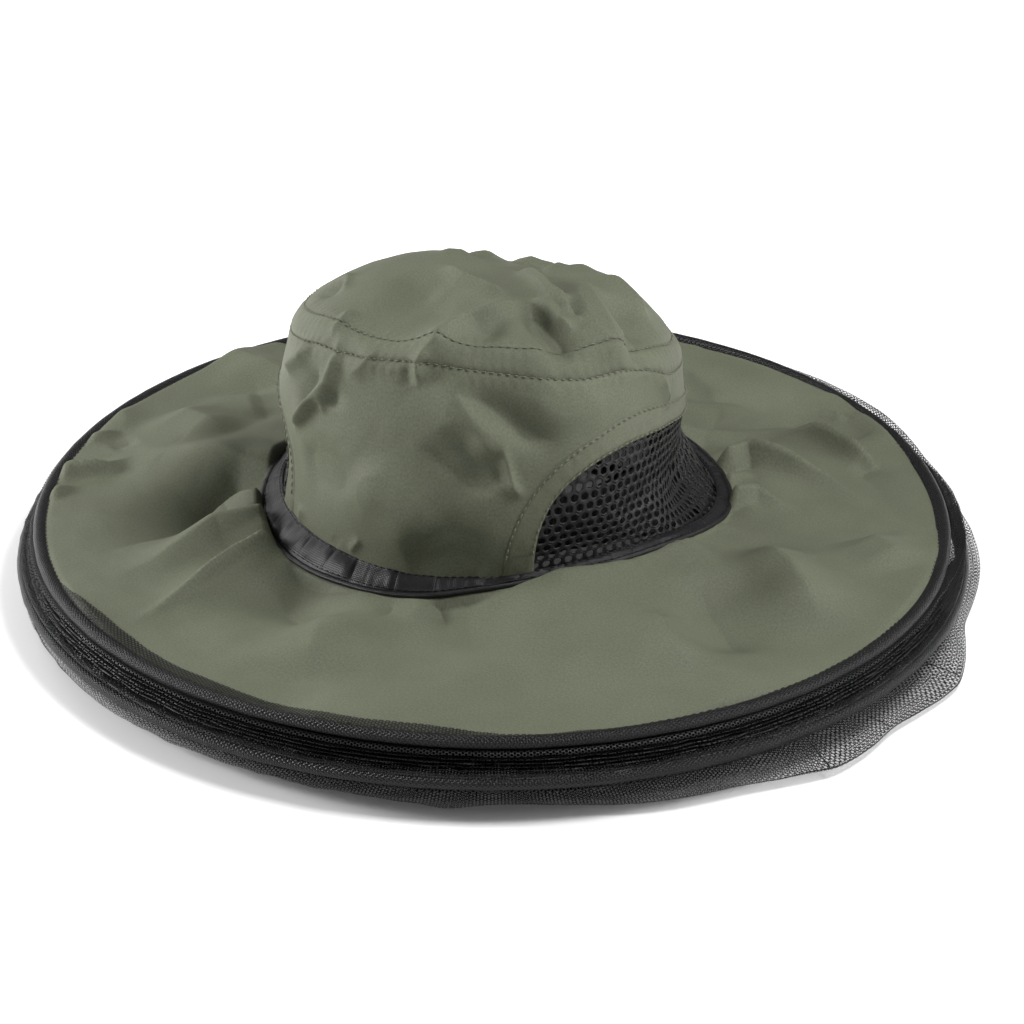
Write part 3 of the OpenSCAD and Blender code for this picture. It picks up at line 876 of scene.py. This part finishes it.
def tube(name, C, rad, n=14, uv_scale=1.0, squash=None):
    """Closed tube along the closed centre line C (N, 3); rad is a number or (N, n)."""
    N_ = len(C)
    T = np.roll(C, -1, 0) - np.roll(C, 1, 0)
    T /= np.linalg.norm(T, axis=1)[:, None]
    out = C * np.array([1, 1, 0]); out /= np.linalg.norm(out, axis=1)[:, None]
    up = np.cross(T, out); up /= np.linalg.norm(up, axis=1)[:, None]
    ph = np.linspace(0, 2 * math.pi, n, endpoint=False)
    rad = np.broadcast_to(rad, (N_, n))
    P = C[:, None] + (out[:, None] * np.cos(ph)[None, :, None] - up[:, None] * np.sin(ph)[None, :, None] * -1.0) * rad[..., None]
    s = arc(np.vstack([C, C[:1]]))
    per_ = float(np.mean(rad)) * 2 * math.pi
    I, J = np.meshgrid(np.arange(N_), np.arange(n), indexing="ij")
    I, J = I.ravel(), J.ravel()
    I1, J1 = (I + 1) % N_, (J + 1) % n
    f = np.stack([I * n + J, I * n + J1, I1 * n + J1, I1 * n + J], 1)
    vj = np.linspace(0, per_, n + 1)
    uv = np.stack([np.stack([s[I], vj[J]], 1), np.stack([s[I], vj[J + 1]], 1), np.stack([s[I + 1], vj[J + 1]], 1), np.stack([s[I + 1], vj[J]], 1)], 1)
    o = mesh_object(name, P, f, uv * uv_scale)
    return o

def make_base():
    t = np.linspace(-180, 180, 901)[:-1]
    # piping in the seam: a cord covered in black cloth
    wob = 0.35 * (vnoise(np.stack([t * 0.45, 0 * t, 0 * t], -1), 31) - 0.5)
    C = place(t, pip_r(t) + wob, pip_z(t) + DZ + 1.3)
    o = tube("piping", C, 1.25, 12)
    dress(o, PIPING, HAT, ["crown_piping"])
    # satin tape: from the piping up and in to the foot of the crown
    te = np.linspace(-180, 180, 1081)
    w = np.linspace(0, 1, 15)
    T, W = np.meshgrid(te, w, indexing="ij")
    low = place(te, pip_r(te) - 0.4, pip_z(te) + DZ + 1.6)
    top, _ = crown_at(te, np.full_like(te, 0.035), -1.1)
    up = top + np.array([0, 0, 0.3])
    P = low[:, None] * (1 - W[..., None]) + up[:, None] * W[..., None]
    c = np.stack([T * 0.20, W * 0.6, 0 * T], -1)
    puff = 1.1 * np.sin(np.pi * W) + 0.9 * np.sin(np.pi * W) * (vnoise(c, 41) - 0.5) * 2 + 0.5 * (vnoise(np.stack([T * 0.7, W, 0 * T], -1), 42) - 0.5) * np.sin(np.pi * W)
    N = place(T, np.ones_like(T), 0.0 * T) * 0.6 + np.array([0, 0, 0.8])
    # sharp crimps across the tape every centimetre or so
    cr = np.random.default_rng(17)
    at_, crimp = -180.0, np.zeros_like(T)
    while at_ < 178:
        lean = cr.uniform(-1.5, 1.5)
        wd, dp = cr.uniform(0.35, 0.8), cr.uniform(0.2, 0.8)
        crimp -= dp * np.exp(-np.abs((T - at_ - lean * (W - 0.5)) / wd))
        at_ += cr.uniform(4.0, 11.0)
    puff = puff + crimp * np.clip(np.sin(np.pi * W) * 1.4, 0, 1)
    # two pressed edges run along the tape
    ridge = 0.35 * np.exp(-((W - 0.16) / 0.05) ** 2) + 0.25 * np.exp(-((W - 0.9) / 0.05) ** 2)
    P = P + N * (puff + ridge)[..., None]
    UV = np.stack([np.radians(T) * 103.0, W * 10.0], -1)
    o = grid("base_tape", P, UV)
    thick(o, 0.5)
    dress(o, SATIN, HAT, ["crown_base_tape"])
    # black thread along both edges of the tape
    parts = []
    for j, wv in ((2, 0.16), (12, 0.88)):
        p = P[:, j]
        n = np.broadcast_to(N[:, j], p.shape)
        parts.append(stitches("r", p + n * 0.15, n, 2.2, 1.1, 0.24))
    o = join_parts("tape_stitching", parts)
    dress(o, BLACK_THREAD, HAT)
    # sweatband: folded satin tape inside the crown
    v = np.linspace(0.02, 0.40, 17)
    T, V = np.meshgrid(te, v, indexing="ij")
    base, N = crown_at(T, V, 0.0, folds=False)
    crimp = 0.7 * (vnoise(np.stack([T * 0.22, V * 2, 0 * T], -1), 51) - 0.5) * 2 + 0.35 * np.sin(np.radians(T) * 140)
    hat = (T + AZ + 180) % 360 - 180
    deep = np.clip((62 - np.minimum(np.abs(hat - 90), np.abs(hat + 95))) / 10.0, 0, 1)
    P = base + N * (-4.6 + crimp - deep * 9.0)[..., None]
    UV = np.stack([np.radians(T) * 95.0, V * 80.0], -1)
    o = grid("sweatband_cloth", P, UV)
    thick(o, 1.6)
    dress(o, SATIN, HAT, ["sweatband"])
    # flat elastic sewn behind the back of the sweatband
    tb = np.linspace(118, 200, 240)
    T, V = np.meshgrid(tb, np.linspace(0.08, 0.34, 9), indexing="ij")
    base, N = crown_at(T, V, 0.0, folds=False)
    P = base + N * (-2.4 + 0.25 * np.sin(np.radians(T) * 150))[..., None]
    UV = np.stack([np.radians(T) * 95.0, V * 80.0], -1)
    o = grid("sweatband_elastic_strip", P, UV)
    thick(o, 1.0)
    dress(o, ELASTIC_UV, HAT, ["sweatband_elastic"])

# ---------------------------------------------------------------- brim
def hoop_wave(t):
    """Small rise and fall of the brim hoop, kept inside what the binding allows."""
    return np.clip(1.3 * np.cos(np.radians(2 * np.asarray(t))) + 0.3 * np.cos(np.radians(t)), -1.1, 1.3)

def low_wave(t):
    return np.clip(1.2 * np.cos(np.radians(2 * np.asarray(t) - 20)), -1.0, 1.2)

def brim_at(t, u, off=0.0):
    t, u = np.broadcast_arrays(np.asarray(t, float), np.asarray(u, float))
    ra, za = pip_r(t) - 0.5, pip_z(t) + DZ - 0.2
    rb, zb = HOOP_R - 2.0, HOOP_Z + hoop_wave(t)
    r = ra + (rb - ra) * u
    z = za + (zb - za) * (u ** 0.85) - 3.2 * np.sin(np.pi * u) * (0.8 + 0.2 * np.cos(np.radians(2 * t)))
    P = place(t, r, z)
    xy = P[..., :2]
    env = np.clip(np.minimum(u / 0.03, (1 - u) / 0.035), 0, 1)
    env = env * env * (3 - 2 * env)
    d = 3.5 * fold_height(xy, BRIM_FOLDS) + 2.3 * fold_height(xy, BRIM_BACK)
    q = np.concatenate([xy, 0 * xy[..., :1]], -1).reshape(-1, 3)
    n = 4.4 * (vnoise(q / 55.0, 61) - 0.5) + 1.7 * (vnoise(q / 26.0, 62) - 0.5) + 0.3 * (vnoise(q / 8.0, 63) - 0.5)
    n += 0.9 * np.clip(ridged(q + 14 * vnoise(q / 40.0, 64)[:, None], 52.0, 65) - 0.5, 0, 1) / 0.5
    d = d + n.reshape(d.shape)
    # gathers at the crown, strongest at the two sides, and small scallops at the rim
    rad = np.radians(t)
    side = 0.25 + 0.75 * np.abs(np.sin(rad)) ** 3
    g = vnoise(np.stack([t * 0.16, 0 * t, 0 * t], -1), 71) - 0.5
    g2 = vnoise(np.stack([t * 0.42, 0 * t, 0 * t], -1), 72) - 0.5
    near = np.exp(-(r - ra) / 20.0)
    near2 = np.exp(-(r - ra) / 9.0)
    d = d + side * (4.2 * g * near + 2.2 * g2 * near2)
    sc = vnoise(np.stack([t * 0.13, 0 * t, 0 * t], -1), 73) - 0.5
    d = d + 2.2 * sc * np.exp(-(rb - r) / 14.0)
    P[..., 2] += d * env + off
    # near the rim the cloth is stretched by the hoop and can't sag onto the net below
    low = np.clip((190.0 - r) / 60.0, 0, 1)
    low = 28.7 - 15.0 * low * low * (3 - 2 * low)
    gapz = P[..., 2] - low - off
    P[..., 2] = low + off + np.where(gapz > 1.5, gapz, 1.5 * np.exp(np.clip((gapz - 1.5) / 1.5, -20, 0)))
    return P

BRIM_BACK = []
for k in range(22):
    t0 = rng.uniform(110, 250)
    a, b = sorted(rng.uniform(0.05, 0.95, 2))
    if b - a < 0.2:
        b = min(0.97, a + 0.3)
    sw = rng.uniform(-10, 10)
    p = place(np.array([t0, t0 + sw / 2, t0 + sw]), np.array([105 + a * 96, 105 + (a + b) / 2 * 96, 105 + b * 96]), 0.0)
    BRIM_BACK.append(([tuple(x[:2]) for x in p], float(rng.uniform(4, 13)), float(rng.uniform(1.2, 3.0) * rng.choice([1, 1, -1]))))

def make_brim():
    nu, nv = 900, 96
    t = np.linspace(-180, 180, nu + 1)[:-1]
    u = np.linspace(0, 1, nv)
    T, U = np.meshgrid(t, u, indexing="ij")
    P = brim_at(T, U)
    UV = P[..., :2].copy()
    UV = np.concatenate([UV, UV[:1]], 0)
    o = grid("brim_cloth", P, UV, closed=True, flip=False)
    thick(o, 1.1)
    dress(o, OLIVE, HAT, ["brim_panel"])

def make_bindings():
    t = np.linspace(-180, 180, 1081)[:-1]
    # brim binding: a tube over the hoop with a flat flange sewn on the brim
    prof = [(-3.9, -1.2), (-4.1, 0.2), (-3.9, 0.9), (-3.6, 1.25), (-3.1, 1.5), (-2.2, 2.0), (-1.2, 2.45), (0, 2.62), (1.2, 2.35), (2.1, 1.6),
            (2.6, 0.5), (2.5, -0.8), (1.8, -1.9), (0.6, -2.5), (-0.8, -2.4), (-2.0, -1.9), (-2.9, -1.7), (-3.6, -1.5)]
    for name, R, Z, wave, flange, node, body, seed in (
            ("brim_edge", HOOP_R, HOOP_Z, hoop_wave, 1.0, "brim_binding", HAT, 81),
            ("lower_edge", LOW_R, LOW_Z, low_wave, 0.55, "lower_binding", "veil_hoop", 82)):
        pr = np.array(prof)
        pr[:, 0] = np.where(pr[:, 0] < -2.6, -2.6 + (pr[:, 0] + 2.6) * flange, pr[:, 0])
        n = len(pr)
        T = t[:, None]
        wob = 0.25 * (vnoise(np.stack([t * 0.5, 0 * t, 0 * t], -1), seed) - 0.5)[:, None]
        lay = np.clip(-(pr[None, :, 0] + 2.2) / 1.6, 0, 1)
        P = place(np.broadcast_to(T, (len(t), n)), R + pr[None, :, 0] + wob - (1.0 * gap(T) if R == HOOP_R else 0.0), Z + wave(T) + pr[None, :, 1] * (1 + 0.10 * wob))
        if flange > 0.9:
            Pb = brim_at(T, np.clip(np.full((len(t), n), 1.0) + (pr[None, :, 0] + 2.0) / 100.0, 0, 1))
            P[..., 2] = P[..., 2] * (1 - lay) + (Pb[..., 2] + np.sign(pr[None, :, 1]) * 0.95 + 0.1) * lay
        s = np.radians(np.append(t, 180.0)) * R
        vj = np.concatenate([[0], np.cumsum(np.linalg.norm(np.diff(np.vstack([pr, pr[:1]]), axis=0), axis=1))])
        I, J = np.meshgrid(np.arange(len(t)), np.arange(n), indexing="ij")
        I, J = I.ravel(), J.ravel()
        I1, J1 = (I + 1) % len(t), (J + 1) % n
        f = np.stack([I * n + J, I * n + J1, I1 * n + J1, I1 * n + J], 1)
        uv = np.stack([np.stack([s[I], vj[J]], 1), np.stack([s[I], vj[J + 1]], 1), np.stack([s[I + 1], vj[J + 1]], 1), np.stack([s[I + 1], vj[J]], 1)], 1)
        o = mesh_object(name, P, f, uv)
        dress(o, BINDING, body, [node])
        # thread along the flange
        j = 4 if flange > 0.9 else 5
        p = np.vstack([P[:, j], P[:1, j]]) + np.array([0, 0, 0.1])
        nn = np.broadcast_to(np.array([0.0, 0, 1.0]), p.shape)
        parts = [stitches("r", p, nn, 2.4, 1.2, 0.25)]
        o2 = join_parts(name + "_stitching", parts)
        dress(o2, BLACK_THREAD, body)

# ---------------------------------------------------------------- nets
outline = periodic([(88,223.5),(80,219.5),(74,217),(67,224),(61,229.5),(55,226),(49,223),(43,227.5),(38,229),(33,223.5),(28,219.5),
                    (18,217.5),(9,212),(3,209),(0,209),(-4,213.5),(-9,210.5),(-18,209),(-27,208.5),(-38,209.5),(-48,212.5),(-60,212),
                    (-73,212.5),(-80,213.5),(-86,217),(-93,219.5),(-105,220),(-120,219),(-140,220.5),(-160,218.5),(180,221),(160,219),
                    (145,222.5),(125,225),(115,227),(108,227.5),(97,226)], 1.0)

def net_mesh(name, t, levels, n_sub, noise=0.5, seed=91, floor_z=0.9):
    """A pleated net: levels is a list of functions t -> (r, z) from one edge to the other."""
    R, Z = [], []
    for k in range(len(levels) - 1):
        (ra, za), (rb, zb) = levels[k](t), levels[k + 1](t)
        s = np.linspace(0, 1, n_sub[k], endpoint=False)
        R.append(ra[:, None] * (1 - s) + rb[:, None] * s)
        Z.append(za[:, None] * (1 - s) + zb[:, None] * s)
    (rb, zb) = levels[-1](t)
    R.append(rb[:, None]); Z.append(zb[:, None])
    R, Z = np.concatenate(R, 1), np.concatenate(Z, 1)
    # round the pleats
    for _ in range(2):
        R[:, 1:-1] = 0.25 * R[:, :-2] + 0.5 * R[:, 1:-1] + 0.25 * R[:, 2:]
        Z[:, 1:-1] = 0.25 * Z[:, :-2] + 0.5 * Z[:, 1:-1] + 0.25 * Z[:, 2:]
    P = place(t[:, None] + 0 * R, R, Z)
    d = np.linalg.norm(np.diff(P, axis=1), axis=2).mean(0)
    v = np.concatenate([[0], np.cumsum(d)])
    tt = np.append(t, t[0] + 360)
    UV = np.stack(np.broadcast_arrays(np.radians(tt)[:, None] * 212.0, v[None, :]), -1)
    return P, UV

def const(x):
    return lambda t: x + 0 * t

def bumpy(seed, scale, amp):
    return lambda t: amp * 2 * (vnoise(np.stack([np.cos(np.radians(t)) * scale, np.sin(np.radians(t)) * scale, 0 * t + 3.3], -1), seed) - 0.5)

fold_z = periodic([(-180, 3), (-100, 3), (-75, 3.6), (-60, 4.6), (-45, 5.6), (30, 5.6), (45, 4.0), (60, 3), (100, 3.5), (125, 4), (150, 3)], 4)
gap = periodic([(-180, 0), (0, 0), (68, 0), (75, 0.6), (81, 1), (97, 1), (104, 0.6), (111, 0)], 2)

def make_nets():
    t = np.linspace(-180, 180, 1201)[:-1]
    top, bot = 29.0, 19.4
    # at the right-hand back the slack net stands up past the hoop
    rise = periodic([(-180, 0), (98, 0), (105, 1.2), (112, 2.6), (118, 3.4), (129, 2.6), (138, 1.4), (150, 1.0), (160, 0.6), (170, 0.2)], 2)
    levels = [lambda t: (HOOP_R + 2.1 + 0 * t, top + 0 * t),
              lambda t: (HOOP_R + 2.6 + 0.45 * rise(t), top - 0.2 + 0.6 * rise(t)),
              lambda t: (HOOP_R + 3.4 + 0.7 * rise(t), top - 0.4 + 1.1 * rise(t) + 0.1 * rise(t) * bumpy(99, 20, 1.0)(t)),
              lambda t: (HOOP_R + 4.0 + 0.6 * rise(t), top - 0.8 + 0.4 * rise(t))]
    n = 6
    zs = np.linspace(top - 2.0, bot, 2 * n)
    for k in range(n):
        f = k / (n - 1)
        tipr = 209.6 + 4.0 * f ** 0.6
        b1, b2 = bumpy(100 + k, 26, 0.8), bumpy(120 + k, 14, 3.0)
        levels.append(lambda t, tipr=tipr, z=zs[2 * k], b1=b1: ((tipr + b1(t)) * (1 - gap(t)) + (213.8 + 0.5 * b1(t)) * gap(t), z + 0 * t))
        if k < n - 1:
            levels.append(lambda t, z=zs[2 * k + 1], b2=b2: ((189 + b2(t)) * (1 - gap(t)) + (211.6 + 0.2 * b2(t)) * gap(t), z + 0 * t))
    levels.append(lambda t: (LOW_R + 0.6 + 0 * t, bot - 0.7 + 0 * t))
    P, UV = net_mesh("u", t, levels, [3, 3, 3, 3] + [9] * (len(levels) - 5))
    per = np.concatenate([np.zeros((len(t), 1)), np.cumsum(np.linalg.norm(np.diff(P, axis=1), axis=2), 1)], 1)
    UV = np.stack([UV[..., 0], np.vstack([per, per[:1]])], -1)
    o = grid("upper_net", P, UV, closed=True)
    dress(o, NET_WALL, None, ["veil_upper_net"])
    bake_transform(o)

    # lower net: two tucked pleats, the flared fold on the table, then in to the neck
    L = [lambda t: (LOW_R + 1.2 + 0 * t, 14.2 + low_wave(t) * 0.5),
         lambda t: (LOW_R + 1.9 + bumpy(140, 20, 0.5)(t), 12.9 + 0 * t),
         lambda t: ((196 + bumpy(141, 12, 3)(t)) * (1 - gap(t)) + 211.5 * gap(t), 12.0 + 0 * t),
         lambda t: (LOW_R - 0.5 + bumpy(142, 20, 0.8)(t), 11.0 + 0 * t),
         lambda t: ((197 + bumpy(143, 12, 3)(t)) * (1 - gap(t)) + 211.5 * gap(t), 10.1 + 0 * t),
         lambda t: (LOW_R - 0.5 + bumpy(144, 24, 0.8)(t), 8.9 + 0 * t),
         lambda t: ((LOW_R + outline(t)) / 2 + 0.5 + bumpy(145, 24, 0.9)(t), 6.2 + bumpy(146, 18, 0.8)(t)),
         lambda t: (outline(t), fold_z(t) + bumpy(147, 22, 0.8)(t)),
         lambda t: (outline(t) - 2.6, fold_z(t) * 0.5 + 0.3 + 0 * t),
         lambda t: (np.full_like(t, 200.0), 1.6 + bumpy(148, 20, 0.6)(t)),
         lambda t: (np.full_like(t, 180.0) + bumpy(149, 12, 4)(t), 1.9 + bumpy(150, 26, 0.9)(t)),
         lambda t: (np.full_like(t, 160.0) + bumpy(151, 12, 4)(t), 2.0 + bumpy(152, 26, 1.0)(t)),
         lambda t: (np.full_like(t, 140.0) + bumpy(153, 12, 4)(t), 2.2 + bumpy(154, 26, 1.1)(t)),
         lambda t: (np.full_like(t, 122.0), 2.6 + bumpy(155, 30, 1.2)(t)),
         lambda t: (np.full_like(t, HEM_OUT - 1.0), 3.2 + bumpy(156, 40, 1.3)(t))]
    subs = [3, 6, 6, 6, 6, 5, 5, 3, 5, 5, 5, 5, 5, 5]
    P, UV = net_mesh("l", t, L, subs)
    fold_v = float(UV[0, sum(subs[:7]), 1])
    arc_u = lambda deg: math.radians(deg) * 212.0
    P[..., 2] = np.maximum(P[..., 2], 0.7)
    o = grid("lower_net", P, UV, closed=True)
    creases = [(arc_u(38), -0.25, fold_v - 9, fold_v), (arc_u(61), 0.5, fold_v - 10, fold_v), (arc_u(-4), 0.2, fold_v - 5, fold_v), (arc_u(47), 0.7, fold_v - 8, fold_v - 1)]
    net_open = net_material("black_net_open", thr=-0.8, edge=fold_v, lines=creases)
    dress(o, net_open, None, ["veil_lower_net"])
    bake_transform(o)

    # selvage of the upper net turned in over the brim, widest at the front left
    te = np.linspace(-70, 24, 420)
    wid = np.interp(te, [-70, -64, -57, -50, -36, -20, -8, 4, 14, 24], [0.2, 3.0, 7.6, 8.4, 8.0, 6.8, 6.0, 4.4, 2.6, 0.2])
    wid = wid + 0.3 * bumpy(160, 30, 1.0)(te)
    w = np.linspace(0, 1, 9)
    T, W = np.meshgrid(te, w, indexing="ij")
    Rr = HOOP_R - 1.6 - np.maximum(wid, 0.2)[:, None] * W
    Pb = brim_at(T, np.clip((Rr - pip_r(T) + 0.5) / (HOOP_R - 1.5 - pip_r(T)), 0, 1))
    P = place(T, Rr, Pb[..., 2] + 1.9 - 0.4 * W)
    UV = np.stack([np.radians(T) * 203.0, Rr], -1)
    o = grid("net_turning", P, UV)
    dress(o, NET_FINE, HAT, ["net_selvage"])

def make_hem():
    """Ruched casing round the neck elastic."""
    n = 18
    t = np.linspace(-180, 180, 1441)[:-1]
    ph = np.linspace(0, 2 * math.pi, n, endpoint=False)
    mid = (98.0 + HEM_OUT) / 2
    T, PH = np.meshgrid(t, ph, indexing="ij")
    a = np.radians(T)
    pleat = 0.55 * np.sin(a * 96 + 2.2 * np.sin(a * 7)) + 0.5 * (vnoise(np.stack([np.cos(a) * 30, np.sin(a) * 30, PH], -1), 171) - 0.5)
    rr = (HEM_OUT - 98.0) / 2 - 0.9
    zz = HEM_TOP / 2 - 0.6
    c, s = np.cos(PH), np.sin(PH)
    R = mid + np.sign(c) * np.abs(c) ** 0.8 * (rr + 0.7 * pleat)
    Z = HEM_TOP / 2 + 0.1 + np.sign(s) * np.abs(s) ** 0.8 * (zz + 0.55 * pleat)
    P = place(T, R, np.maximum(Z, 0.15))
    I, J = np.meshgrid(np.arange(len(t)), np.arange(n), indexing="ij")
    I, J = I.ravel(), J.ravel()
    I1, J1 = (I + 1) % len(t), (J + 1) % n
    f = np.stack([I * n + J, I1 * n + J, I1 * n + J1, I * n + J1], 1)
    sa = np.radians(np.append(t, 180.0)) * mid
    vj = np.linspace(0, 28, n + 1)
    uv = np.stack([np.stack([sa[I], vj[J]], 1), np.stack([sa[I + 1], vj[J]], 1), np.stack([sa[I + 1], vj[J + 1]], 1), np.stack([sa[I], vj[J + 1]], 1)], 1)
    o = mesh_object("neck_hem_cloth", P, f, uv)
    dress(o, HEM, "neck_cuff", ["neck_hem"])

NET_FINE = net_material("black_net_fine", pitch=1.6, thr=-0.1)
NET_WALL = net_material("black_net_wall", pitch=1.5, thr=0.45, open_to=17.0)

make_crown()
make_vents()
make_base()
make_brim()
make_bindings()
make_nets()
make_hem()

for node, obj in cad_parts.items():
    kind = STEEL if "hoop" in node and "binding" not in node else ELASTIC if "elastic" in node else None
    if kind and not obj.hide_render:
        obj.data.materials.clear()
        obj.data.materials.append(kind)

# this loop over the two sides and their areas does nothing
for side, area in (("right", 0.0069), ("left", 0.0063)):
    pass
